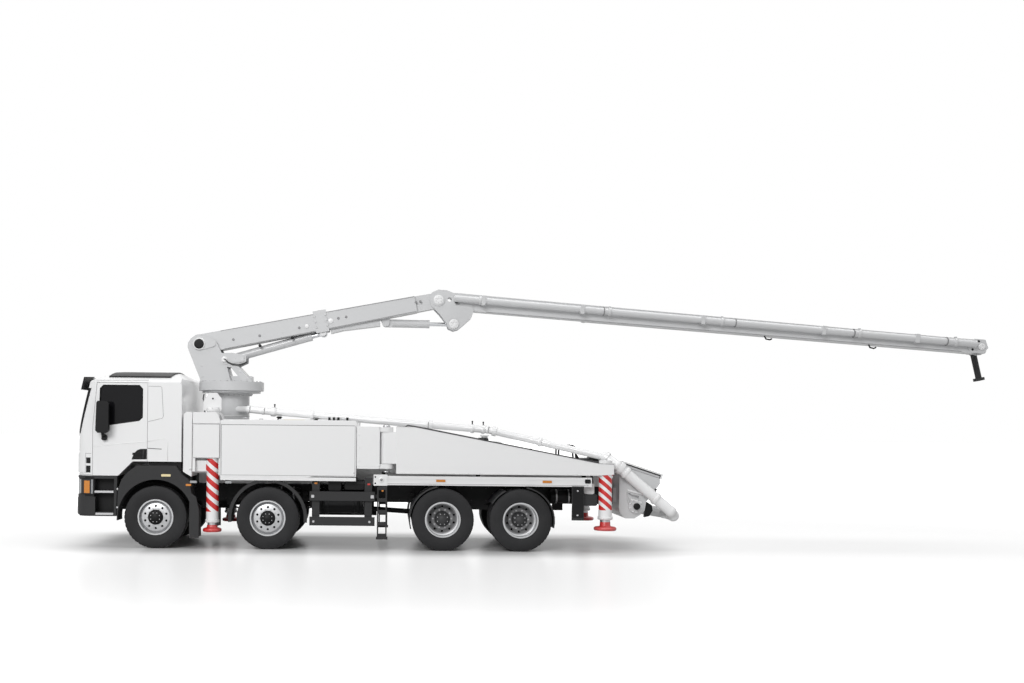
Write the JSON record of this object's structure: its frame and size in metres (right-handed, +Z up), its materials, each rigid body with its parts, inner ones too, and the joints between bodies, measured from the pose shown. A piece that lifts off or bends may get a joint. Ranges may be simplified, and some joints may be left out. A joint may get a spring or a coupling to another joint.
{
  "type": "concrete pump truck",
  "caption": "Four-axle truck that pumps concrete: hopper at the rear, outriggers, turret and folding placing boom.",
  "frame": {"origin": "on the ground under the middle of the whole part, boom included", "axes": "+X to the rear of the truck, +Y to its right side, +Z up"},
  "size_m": [16.8048, 2.85, 4.6576],
  "materials": {
    "white_paint": "gloss",
    "chassis_black": "satin",
    "tyre_rubber": "matt",
    "jack_steel": "satin",
    "dark_plastic": "matt",
    "black_plastic": "satin",
    "tinted_glass": "clear",
    "lamp_lens": "clear",
    "tank_aluminium": "brushed",
    "chromed_rod": "polished",
    "hose_rubber": "matt",
    "bare_steel": "worn"
  },
  "bodies": {
    "carrier": {"chassis_frame": "chassis_black", "springs": "chassis_black", "axles": "chassis_black", "engine_block": "chassis_black", "cab_shell": "white_paint", "cab_glass": "tinted_glass", "cab_interior": "dark_plastic", "cab_trim": "dark_plastic", "grille": "black_plastic", "front_bumper": "dark_plastic", "lamps": "lamp_lens", "mudguards": "dark_plastic", "subframe": "white_paint", "side_bodies": "white_paint", "deck": "white_paint", "side_guards": "dark_plastic", "tanks": "tank_aluminium", "hopper": "white_paint", "pump_cylinders": "chassis_black", "delivery_pipe": "white_paint"},
    "knuckle_1_left": {"knuckle_1_left": "chassis_black"},
    "wheel_1_left": {"wheel_1_left": "tyre_rubber"},
    "knuckle_1_right": {"knuckle_1_right": "chassis_black"},
    "wheel_1_right": {"wheel_1_right": "tyre_rubber"},
    "knuckle_2_left": {"knuckle_2_left": "chassis_black"},
    "wheel_2_left": {"wheel_2_left": "tyre_rubber"},
    "knuckle_2_right": {"knuckle_2_right": "chassis_black"},
    "wheel_2_right": {"wheel_2_right": "tyre_rubber"},
    "wheel_3_left": {"wheel_3_left": "tyre_rubber"},
    "wheel_3_right": {"wheel_3_right": "tyre_rubber"},
    "wheel_4_left": {"wheel_4_left": "tyre_rubber"},
    "wheel_4_right": {"wheel_4_right": "tyre_rubber"},
    "door_left": {"door_left": "white_paint"},
    "door_right": {"door_right": "white_paint"},
    "outrigger_front_left": {"outrigger_front_left": "white_paint"},
    "jack_front_left": {"jack_front_left": "jack_steel"},
    "outrigger_front_right": {"outrigger_front_right": "white_paint"},
    "jack_front_right": {"jack_front_right": "jack_steel"},
    "outrigger_rear_left": {"outrigger_rear_left": "white_paint"},
    "jack_rear_left": {"jack_rear_left": "jack_steel"},
    "outrigger_rear_right": {"outrigger_rear_right": "white_paint"},
    "jack_rear_right": {"jack_rear_right": "jack_steel"},
    "hopper_grate": {"hopper_grate": "bare_steel"},
    "hopper_lid": {"hopper_lid": "white_paint"},
    "turret": {"turret": "white_paint"},
    "lift_barrel": {"lift_barrel": "white_paint"},
    "lift_rod": {"lift_rod": "chromed_rod"},
    "arm_1": {"arm_1": "white_paint"},
    "elbow_barrel": {"elbow_barrel": "white_paint"},
    "elbow_rod": {"elbow_rod": "chromed_rod"},
    "arm_2": {"arm_2": "white_paint"},
    "arm_3": {"arm_3": "white_paint"},
    "arm_4": {"arm_4": "white_paint"},
    "drop_pipe": {"drop_pipe": "hose_rubber"}
  },
  "joints": [
    {"name": "steer_1_left", "type": "hinge", "parent": "carrier", "child": "knuckle_1_left", "pos_m": [-7.00168, -0.93, 0.538], "axis": [0, 0, 1], "range_deg": [-28, 28]},
    {"name": "roll_1_left", "type": "hinge", "parent": "knuckle_1_left", "child": "wheel_1_left", "pos_m": [-7.00168, -1.078, 0.538], "axis": [0, -1, 0], "continuous": true},
    {"name": "steer_1_right", "type": "hinge", "parent": "carrier", "child": "knuckle_1_right", "pos_m": [-7.00168, 0.93, 0.538], "axis": [0, 0, 1], "range_deg": [-28, 28]},
    {"name": "roll_1_right", "type": "hinge", "parent": "knuckle_1_right", "child": "wheel_1_right", "pos_m": [-7.00168, 1.078, 0.538], "axis": [0, -1, 0], "continuous": true},
    {"name": "steer_2_left", "type": "hinge", "parent": "carrier", "child": "knuckle_2_left", "pos_m": [-5.06168, -0.93, 0.538], "axis": [0, 0, 1], "range_deg": [-18.48, 18.48]},
    {"name": "roll_2_left", "type": "hinge", "parent": "knuckle_2_left", "child": "wheel_2_left", "pos_m": [-5.06168, -1.078, 0.538], "axis": [0, -1, 0], "continuous": true},
    {"name": "steer_2_right", "type": "hinge", "parent": "carrier", "child": "knuckle_2_right", "pos_m": [-5.06168, 0.93, 0.538], "axis": [0, 0, 1], "range_deg": [-18.48, 18.48]},
    {"name": "roll_2_right", "type": "hinge", "parent": "knuckle_2_right", "child": "wheel_2_right", "pos_m": [-5.06168, 1.078, 0.538], "axis": [0, -1, 0], "continuous": true},
    {"name": "roll_3_left", "type": "hinge", "parent": "carrier", "child": "wheel_3_left", "pos_m": [-2.03168, -1.058, 0.538], "axis": [0, -1, 0], "continuous": true},
    {"name": "roll_3_right", "type": "hinge", "parent": "carrier", "child": "wheel_3_right", "pos_m": [-2.03168, 1.058, 0.538], "axis": [0, -1, 0], "continuous": true},
    {"name": "roll_4_left", "type": "hinge", "parent": "carrier", "child": "wheel_4_left", "pos_m": [-0.68168, -1.058, 0.538], "axis": [0, -1, 0], "continuous": true},
    {"name": "roll_4_right", "type": "hinge", "parent": "carrier", "child": "wheel_4_right", "pos_m": [-0.68168, 1.058, 0.538], "axis": [0, -1, 0], "continuous": true},
    {"name": "door_left_hinge", "type": "hinge", "parent": "carrier", "child": "door_left", "pos_m": [-8.09168, -1.235, 2], "axis": [0, 0, -1], "range_deg": [0, 75]},
    {"name": "door_right_hinge", "type": "hinge", "parent": "carrier", "child": "door_right", "pos_m": [-8.09168, 1.235, 2], "axis": [0, 0, 1], "range_deg": [0, 75]},
    {"name": "front_left_slide", "type": "slide", "parent": "carrier", "child": "outrigger_front_left", "axis": [0, -1, 0], "range_m": [0, 1.5]},
    {"name": "front_left_jack", "type": "slide", "parent": "outrigger_front_left", "child": "jack_front_left", "axis": [0, 0, -1], "range_m": [0, 0.28]},
    {"name": "front_right_slide", "type": "slide", "parent": "carrier", "child": "outrigger_front_right", "axis": [0, 1, 0], "range_m": [0, 1.5]},
    {"name": "front_right_jack", "type": "slide", "parent": "outrigger_front_right", "child": "jack_front_right", "axis": [0, 0, -1], "range_m": [0, 0.28]},
    {"name": "rear_left_swing", "type": "hinge", "parent": "carrier", "child": "outrigger_rear_left", "pos_m": [-3.02168, -1.085, 1.7], "axis": [0, 0, -1], "range_deg": [0, 85]},
    {"name": "rear_left_jack", "type": "slide", "parent": "outrigger_rear_left", "child": "jack_rear_left", "axis": [0, 0, -1], "range_m": [0, 0.36]},
    {"name": "rear_right_swing", "type": "hinge", "parent": "carrier", "child": "outrigger_rear_right", "pos_m": [-3.02168, 1.085, 1.7], "axis": [0, 0, 1], "range_deg": [0, 85]},
    {"name": "rear_right_jack", "type": "slide", "parent": "outrigger_rear_right", "child": "jack_rear_right", "axis": [0, 0, -1], "range_m": [0, 0.36]},
    {"name": "grate_hinge", "type": "hinge", "parent": "carrier", "child": "hopper_grate", "pos_m": [1.08832, 0, 1.53], "axis": [0, -1, 0], "range_deg": [0, 80]},
    {"name": "lid_hinge", "type": "hinge", "parent": "hopper_grate", "child": "hopper_lid", "pos_m": [1.08832, 0, 1.53], "axis": [0, -1, 0], "range_deg": [0, 20]},
    {"name": "slew", "type": "hinge", "parent": "carrier", "child": "turret", "pos_m": [-5.88168, 0, 2.73], "axis": [0, 0, 1], "range_deg": [-180, 180]},
    {"name": "arm_1_lift", "type": "hinge", "parent": "turret", "child": "arm_1", "pos_m": [-6.45068, 0, 3.616], "axis": [0, -1, 0], "range_deg": [-11, 76]},
    {"name": "lift_barrel_swing", "type": "hinge", "parent": "turret", "child": "lift_barrel", "pos_m": [-5.99168, 0, 3.334], "axis": [0, -1, 0], "range_deg": [-11.67, 77.7]},
    {"name": "lift_rod_slide", "type": "slide", "parent": "lift_barrel", "child": "lift_rod", "axis": [0.9609, 0, 0.277], "range_m": [-0.0998, 0.6659]},
    {"name": "arm_2_lift", "type": "hinge", "parent": "arm_1", "child": "arm_2", "pos_m": [-2.09963, 0, 4.46964], "axis": [0, -1, 0], "range_deg": [-20, 24]},
    {"name": "elbow_barrel_swing", "type": "hinge", "parent": "arm_1", "child": "elbow_barrel", "pos_m": [-3.05573, 0, 4.04304], "axis": [0, -1, 0], "range_deg": [-5.23, 6.18]},
    {"name": "elbow_rod_slide", "type": "slide", "parent": "elbow_barrel", "child": "elbow_rod", "axis": [0.9999, 0, -0.0105], "range_m": [-0.1515, 0.181]},
    {"name": "arm_3_fold", "type": "hinge", "parent": "arm_2", "child": "arm_3", "pos_m": [7.82929, 0, 3.70914], "axis": [0, 1, 0], "range_deg": [0, 180]},
    {"name": "arm_4_fold", "type": "hinge", "parent": "arm_3", "child": "arm_4", "pos_m": [0.70017, 0, 4.25519], "axis": [0, -1, 0], "range_deg": [0, 180]},
    {"name": "drop_swing", "type": "hinge", "parent": "arm_4", "child": "drop_pipe", "pos_m": [8.17827, 0, 3.68241], "axis": [0, -1, 0], "range_deg": [-100, 40]}
  ],
  "couplings": [
    {"joint": "steer_1_right", "follows": "steer_1_left", "ratio": 1},
    {"joint": "steer_2_left", "follows": "steer_1_left", "ratio": 0.66},
    {"joint": "steer_2_right", "follows": "steer_1_left", "ratio": 0.66},
    {"joint": "lift_barrel_swing", "follows": "arm_1_lift", "ratio": 1.0158},
    {"joint": "lift_rod_slide", "follows": "arm_1_lift", "m_per_rad": 0.499},
    {"joint": "elbow_barrel_swing", "follows": "arm_2_lift", "ratio": 0.2365},
    {"joint": "elbow_rod_slide", "follows": "arm_2_lift", "m_per_rad": 0.4225}
  ]
}
